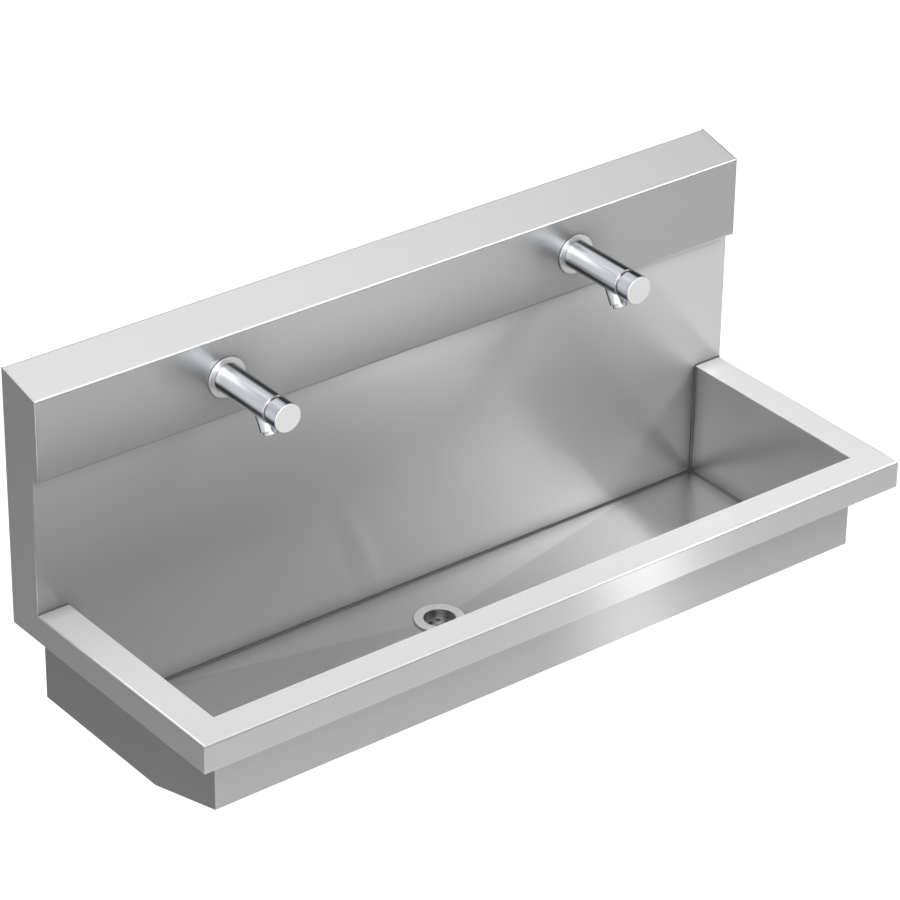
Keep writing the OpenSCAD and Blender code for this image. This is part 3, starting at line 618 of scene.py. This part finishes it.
# %% Taps and waste
# Painted light on the tops of the flange and strainer, whose dark grey is painted shade.
FLANGE_TOP_LIGHT = (UP, 0.6, 0.95, 2.4)
STRAINER_TOP_LIGHT = (UP, 0.6, 0.95, 1.2)
finishes.update({
    "chrome": metal("chrome", (0.595, 0.62, 0.66), 0.30, TURNED, cloud=0.01, tone=0.0,
                    smear_round="Y", turn=QUARTER_TURN, crease=0.5, reach=0.004,
                    dark_sides=0.92),
    "rosette_steel": metal("rosette_steel", grey(0.72), 0.42, cloud=0.02, wear=-0.6),
    "face_steel": metal("face_steel", grey(0.80), 0.60, cloud=0.02),
    "waste_steel": metal("waste_steel", grey(0.60), 0.42, TURNED, cloud=0.02, tone=0.01,
                         crease=0.5, reach=0.01),
    "flange_steel": metal("flange_steel", grey(0.22), 0.42, TURNED, cloud=0.02, tone=0.01,
                          wear=-0.5, painted_light=(FLANGE_TOP_LIGHT,)),
    "strainer_steel": metal("strainer_steel", grey(0.22), 0.38, TURNED, cloud=0.02, tone=0.01,
                            crease=0.6, reach=0.006, painted_light=(STRAINER_TOP_LIGHT,)),
})
print("steels and chrome:", len(finishes))

# %% [markdown]
# ## Hidden metals
#
# The back of the sink is seen while it is hung. The brackets are plain
# milled steel with a coarse grain, the nuts are brass, and the copper pipe
# has browned in blotches. The tarnish is a second colour that the blotch
# mask of the handling marks mixes in.

# %% Hidden metals
finishes.update({
    "frame_steel": metal("frame_steel", grey(0.55), 0.45, ALONG_Z, 0.1, 0.15, 0.06, 0.2,
                         crease=0.4, wear=0.2, tarnish=(0.44, 0.43, 0.42), blotches=14.0),
    "fastener_steel": metal("fastener_steel", (0.60, 0.60, 0.59), 0.25, TURNED, cloud=0.1,
                            crease=0.3, reach=0.01, tarnish=(0.50, 0.50, 0.48), blotches=60.0),
    "copper_pipe": metal("copper_pipe", (0.80, 0.42, 0.26), 0.30, ALONG_X, 0.05, 0.2, 0.03,
                         0.1, crease=0.4, reach=0.02, tarnish=(0.42, 0.20, 0.12),
                         blotches=40.0),
    "brass": metal("brass", (0.78, 0.58, 0.28), 0.30, TURNED, cloud=0.15, crease=0.3, reach=0.01,
                   tarnish=(0.48, 0.33, 0.15), blotches=70.0),
    "spring_steel": metal("spring_steel", grey(0.5), 0.3, TURNED, cloud=0.1, crease=0.3,
                          reach=0.005),
    # The welds' very dark grey is painted shade for the corners they fill.
    "shaded_weld_steel": metal("shaded_weld_steel", grey(0.15), 0.45, TURNED, 0.05, 0.1, 0.08, 0.3, crease=0.4),
    "solder": metal("solder", (0.62, 0.62, 0.60), 0.40, TURNED, 0.1, 0.15, 0.05, 0.3),
})
print("metals:", len(finishes))

# %% [markdown]
# ## Rubber, fibre and plastic
#
# These are no metals: their own colour shows, under a faint gloss. Each gets
# a fine uneven skin from the handling marks, used at a small scale for both
# the roughness and the bump.

# %% Rubber, fibre and plastic
SKIN_GLOSS = 0.2
SKIN_DEPTH = 0.0002


def moulded(name, colour, roughness, scale, relief):
    """A matt body with a fine uneven skin."""
    material = bpy.data.materials.new(name)
    material.use_nodes = True
    tree = material.node_tree
    shader = tree.nodes["Principled BSDF"]
    skin = placed(tree, marks_group, Scale=scale)
    shade = number(tree, "ADD", skin["Cloud"], 1.0)
    plug(tree, shader.inputs["Base Color"], vector(tree, "SCALE", colour, shade))
    plug(tree, shader.inputs["Roughness"],
         number(tree, "MULTIPLY_ADD", skin["Cloud"], SKIN_GLOSS, roughness))
    bump = tree.nodes.new("ShaderNodeBump")
    bump.inputs["Strength"].default_value = relief
    bump.inputs["Distance"].default_value = SKIN_DEPTH
    plug(tree, bump.inputs["Height"], skin["Cloud"])
    plug(tree, shader.inputs["Normal"], bump.outputs["Normal"])
    return material


finishes.update({
    "black_rubber": moulded("black_rubber", (0.02, 0.02, 0.022), 0.6, 400, 0.3),
    "fibre": moulded("fibre", (0.42, 0.12, 0.08), 0.8, 600, 0.6),
    "grey_plastic": moulded("grey_plastic", (0.25, 0.26, 0.27), 0.45, 300, 0.2),
    "blue_ring": moulded("blue_ring", (0.03, 0.10, 0.55), 0.35, 300, 0.1),
})
print("finishes:", sorted(finishes))

# %% [markdown]
# ## Dress the CAD model
#
# Each CAD node arrives with the name of its material slot, and the finish of
# that name is put in its place. A few nodes share a slot but differ in how
# they were brushed, or get their own grey as painted light and shade, so they
# have a finish of their own.

# %% Dress the CAD model
OWN_FINISH = {
    "side_panel_left": "side_steel", "side_panel_right": "side_steel",
    "basin_end_left": "shaded_end_steel", "basin_end_right": "shaded_end_steel",
    "basin_floor": "floor_steel", "back_panel": "back_steel",
    "tap_rosette_left": "rosette_steel", "tap_rosette_right": "rosette_steel",
    "button_face_left": "face_steel", "button_face_right": "face_steel",
    "waste_flange": "flange_steel", "waste_strainer": "strainer_steel",
}
for name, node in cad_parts.items():
    for part_slot in node.material_slots:
        slot_name = part_slot.material.name.split(".")[0]
        part_slot.material = finishes[OWN_FINISH.get(name, slot_name)]
print("dressed nodes:", len(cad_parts))

# %% [markdown]
# ## Pieces that CAD leaves out
#
# The sheets of a real trough are welded along their inside corners, and the
# welds are ground to a small hollow curve. One helper makes such a weld from
# a single point: the point is spun through a quarter turn, the curve is closed
# with three more points behind the sheets, and the face is extruded along the
# corner.
#
# The lengths in the cells that follow are in metres. Most of them repeat the
# CAD model's own, so that each piece lies on the solid that carries it.

# %% Helpers for pieces
SMOOTH_UNDER = math.radians(40)


def add_piece(name, bm, finish, body="trough"):
    """Makes an object of a finished bmesh and lets it ride on a body, if one is given."""
    bmesh.ops.recalc_face_normals(bm, faces=bm.faces)
    for face in bm.faces:
        face.smooth = True
    mesh = bpy.data.meshes.new(name)
    bm.to_mesh(mesh)
    bm.free()
    mesh.set_sharp_from_angle(angle=SMOOTH_UNDER)
    mesh.materials.append(finishes[finish])
    made = bpy.data.objects.new(name, mesh)
    bpy.context.scene.collection.objects.link(made)
    if body:
        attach(made, body)
    print(name, "faces:", len(mesh.polygons))
    return made


WELD_STEPS = 6
WELD_SINK = 0.0003


def points_of(parts):
    """The points among the points, edges and faces that an operator returns."""
    return [part for part in parts if isinstance(part, bmesh.types.BMVert)]


def corner_weld(bm, start, end, along_a, along_b, radius):
    """A hollow-ground weld in an inside corner, whose two sheets run along a and along b."""
    start, end, a, b = Vector(start), Vector(end), Vector(along_a), Vector(along_b)
    first = bm.verts.new(start + radius * a)
    bmesh.ops.spin(bm, geom=[first], cent=start + radius * (a + b), axis=b.cross(a),
                   angle=math.pi / 2, steps=WELD_STEPS, use_duplicate=False)
    by_turn = sorted((v for v in bm.verts if not v.link_faces),
                     key=lambda v: (v.co - start).dot(b))
    behind = [bm.verts.new(start + radius * b - WELD_SINK * a),
              bm.verts.new(start - WELD_SINK * (a + b)),
              bm.verts.new(start + radius * a - WELD_SINK * b)]
    face = bm.faces.new(by_turn + behind)
    grown = bmesh.ops.extrude_face_region(bm, geom=[face])["geom"]
    bmesh.ops.translate(bm, vec=end - start, verts=points_of(grown))


# %% [markdown]
# ## Welds in the basin
#
# The basin has a weld in each upright corner, one where each end meets the
# floor and the slope, and one along the foot of the back panel. From above
# they are the thin dark lines that separate the sheets. They are dressed
# with a duller steel whose very dark grey is the painted shade of the corners.

# %% Welds in the basin
RIM_Z = -0.060
SHEET = 0.0012
INNER_X = 0.552
BACK_Y = -0.062
FRONT_Y = -0.400
SLOPE_FOOT_Y = -0.262
FLOOR_TOP = RIM_Z - 0.180
WALL_FOOT = RIM_Z - 0.142
CREASE_X = 0.456
CREASE_TOP = FLOOR_TOP - 0.0007
WELD_R = 0.003
BACKWARD = (0, 1, 0)

welds = bmesh.new()
slope = Vector((0, FRONT_Y - SLOPE_FOOT_Y, WALL_FOOT - FLOOR_TOP)).normalized()
for side in (-1, 1):
    inward = (-side, 0, 0)
    end_x = side * INNER_X
    corner_weld(welds, (end_x, BACK_Y, FLOOR_TOP), (end_x, BACK_Y, RIM_Z - SHEET),
                inward, FORWARD, WELD_R)
    corner_weld(welds, (end_x, FRONT_Y, WALL_FOOT), (end_x, FRONT_Y, RIM_Z - SHEET),
                inward, BACKWARD, WELD_R)
    corner_weld(welds, (end_x, BACK_Y, FLOOR_TOP), (end_x, SLOPE_FOOT_Y, FLOOR_TOP),
                inward, UP, WELD_R)
    corner_weld(welds, (end_x, SLOPE_FOOT_Y, FLOOR_TOP), (end_x, FRONT_Y, WALL_FOOT),
                inward, (0, slope.z, -slope.y), WELD_R)
    corner_weld(welds, (end_x, BACK_Y, FLOOR_TOP), (side * CREASE_X, BACK_Y, CREASE_TOP),
                FORWARD, UP, WELD_R)
corner_weld(welds, (-CREASE_X, BACK_Y, CREASE_TOP), (CREASE_X, BACK_Y, CREASE_TOP),
            FORWARD, UP, WELD_R)
add_piece("basin_corner_welds", welds, "shaded_weld_steel")

# %% [markdown]
# ## Welds behind the rim
#
# The two arms of the rim run against the back panel. A smaller weld closes
# each joint, so that water can't get behind the trough. Its very dark grey
# paints the shade line along the joint.

# %% Welds behind the rim
OUTER_X = 0.5998
RIM_WELD_R = 0.0018
rim_welds = bmesh.new()
for side in (-1, 1):
    corner_weld(rim_welds, (side * INNER_X, BACK_Y, RIM_Z), (side * OUTER_X, BACK_Y, RIM_Z),
                FORWARD, UP, RIM_WELD_R)
add_piece("rim_back_welds", rim_welds, "shaded_weld_steel")

# %% [markdown]
# ## Stitch welds on the brackets
#
# The wall brackets are channels whose flanges are stitched to the back of
# the panel. A weld laid by hand is a row of overlapping drops. One flattened
# sphere is the drop, and copies of it are set along each short stitch.

# %% Stitch welds on the brackets
BRACKET_X = 0.480
BRACKET_HALF = 0.025
BRACKET_BACK_Y = BACK_Y + SHEET
STITCH_Z = (-0.200, -0.080, 0.040, 0.130)
STITCH_DROPS = 18
DROP_R = 0.0026
DROP_STEP = 0.0017
DROP_SHAPE = (1, 0.6, 0.55, 1)
DROP_OUT = 0.0008
DROP_SIDES = 10
DROP_ROWS = 6

beads = bmesh.new()
for count in range(STITCH_DROPS):
    place = (Matrix.Translation((0, BRACKET_BACK_Y + DROP_OUT, count * DROP_STEP))
             @ Matrix.Diagonal(DROP_SHAPE))
    bmesh.ops.create_uvsphere(beads, u_segments=DROP_SIDES, v_segments=DROP_ROWS,
                              radius=DROP_R, matrix=place)
stitch = beads.verts[:] + beads.edges[:] + beads.faces[:]
for middle_x in (-BRACKET_X, BRACKET_X):
    for side in (-1, 1):
        for foot in STITCH_Z:
            copied = bmesh.ops.duplicate(beads, geom=stitch)["geom"]
            bmesh.ops.translate(beads, vec=(middle_x + side * BRACKET_HALF, 0, foot),
                                verts=points_of(copied))
bmesh.ops.delete(beads, geom=points_of(stitch), context="VERTS")
add_piece("bracket_weld_beads", beads, "shaded_weld_steel")

# %% [markdown]
# ## Solder on the copper pipe
#
# Copper fittings are joined with solder, which leaves a thin silver ring at
# the mouth of each fitting. A small triangle is spun round the pipe's axis.
# The spin is a full turn, so its seam is merged.

# %% Solder on the copper pipe
PIPE_Y = -0.034
PIPE_Z = RIM_Z + 0.270
PIPE_R = 0.011
CAP_MOUTH_X = 0.318
BRANCH_X = 0.300
BRANCH_R = 0.0086
COLLAR_Y = PIPE_Y - 0.020
SOLDER_SIZE = 0.0013
SOLDER_STEPS = 48


def solder_ring(bm, centre, axis, out, radius, towards):
    """A ring of solder round an axis: a small triangle in the mouth of a fitting."""
    centre, axis, out = Vector(centre), Vector(axis), Vector(out)
    corners = [bm.verts.new(centre + out * (radius + high) + axis * (along * towards))
               for high, along in ((-WELD_SINK, 0), (SOLDER_SIZE, 0), (-WELD_SINK, SOLDER_SIZE))]
    triangle = bm.faces.new(corners)
    bmesh.ops.spin(bm, geom=[triangle], cent=centre, axis=axis, angle=2 * math.pi,
                   steps=SOLDER_STEPS, use_merge=True, use_duplicate=False)
    if triangle.is_valid:
        bmesh.ops.delete(bm, geom=[triangle], context="FACES_ONLY")


rings = bmesh.new()
for side in (-1, 1):
    solder_ring(rings, (side * CAP_MOUTH_X, PIPE_Y, PIPE_Z), (1, 0, 0), UP, PIPE_R, -side)
    solder_ring(rings, (side * BRANCH_X, COLLAR_Y, PIPE_Z), (0, 1, 0), UP, BRANCH_R, 1)
add_piece("solder_rings", rings, "solder")

# %% [markdown]
# ## Thread on the water inlet
#
# The inlet behind the panel takes a half-inch hose. Its thread is a low
# ridge on a screw line: a spin whose every step also moves a little along the
# axis, for as many turns as fit between the thread's two ends.

# %% Thread on the water inlet
INLET_R = 0.0104
THREAD_FROM_Y = PIPE_Y + 0.0175
THREAD_TO_Y = PIPE_Y + 0.0300
THREAD_PITCH = 0.0018
THREAD_HEIGHT = 0.00035
THREAD_CREST = 0.35 * THREAD_PITCH
THREAD_FOOT = 0.7 * THREAD_PITCH
THREAD_STEPS = 28

thread = bmesh.new()
turns = int((THREAD_TO_Y - THREAD_FROM_Y) / THREAD_PITCH)
ridge = [thread.verts.new((0, THREAD_FROM_Y + along, PIPE_Z + INLET_R + high))
         for high, along in ((-WELD_SINK, 0), (THREAD_HEIGHT, THREAD_CREST),
                             (-WELD_SINK, THREAD_FOOT))]
start_face = thread.faces.new(ridge)
bmesh.ops.spin(thread, geom=[start_face], cent=(0, PIPE_Y, PIPE_Z), axis=(0, 1, 0),
               dvec=(0, THREAD_PITCH / THREAD_STEPS, 0), angle=2 * math.pi * turns,
               steps=THREAD_STEPS * turns, use_duplicate=False)
add_piece("inlet_thread", thread, "copper_pipe")

# %% [markdown]
# ## Return springs
#
# A coil spring carries each push button back. Each CAD spring is replaced by
# a coil of wire between the cartridge and the push button. It is a small disc
# of wire, spun four times round while it moves along the axis.

# %% Return springs
WIRE_R = 0.0007
SPRING_TURNS = 4
TURN_STEPS = 24
WIRE_SIDES = 10


def coil_spring(side):
    """A coil spring between the cartridge and the push button of one tap."""
    low, high = (Vector(corner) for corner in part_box("return_spring_" + side))
    middle = (low + high) / 2
    radius = (high.x - low.x) / 2 - WIRE_R
    foot = Vector((middle.x, high.y - WIRE_R, middle.z))
    head = Vector((middle.x, low.y + WIRE_R, middle.z))
    steps = SPRING_TURNS * TURN_STEPS
    bm = bmesh.new()
    bmesh.ops.create_circle(bm, cap_ends=True, segments=WIRE_SIDES, radius=WIRE_R,
                            matrix=Matrix.Translation(foot + Vector((radius, 0, 0))))
    bmesh.ops.spin(bm, geom=bm.faces[:], cent=foot, axis=(0, 1, 0), dvec=(head - foot) / steps,
                   angle=2 * math.pi * SPRING_TURNS, steps=steps, use_duplicate=False)
    bmesh.ops.holes_fill(bm, edges=[e for e in bm.edges if e.is_boundary], sides=WIRE_SIDES)
    spring = add_piece("coil_spring_" + side, bm, "spring_steel", body="")
    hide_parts("return_spring_" + side)
    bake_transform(spring)


coil_spring("left")
coil_spring("right")
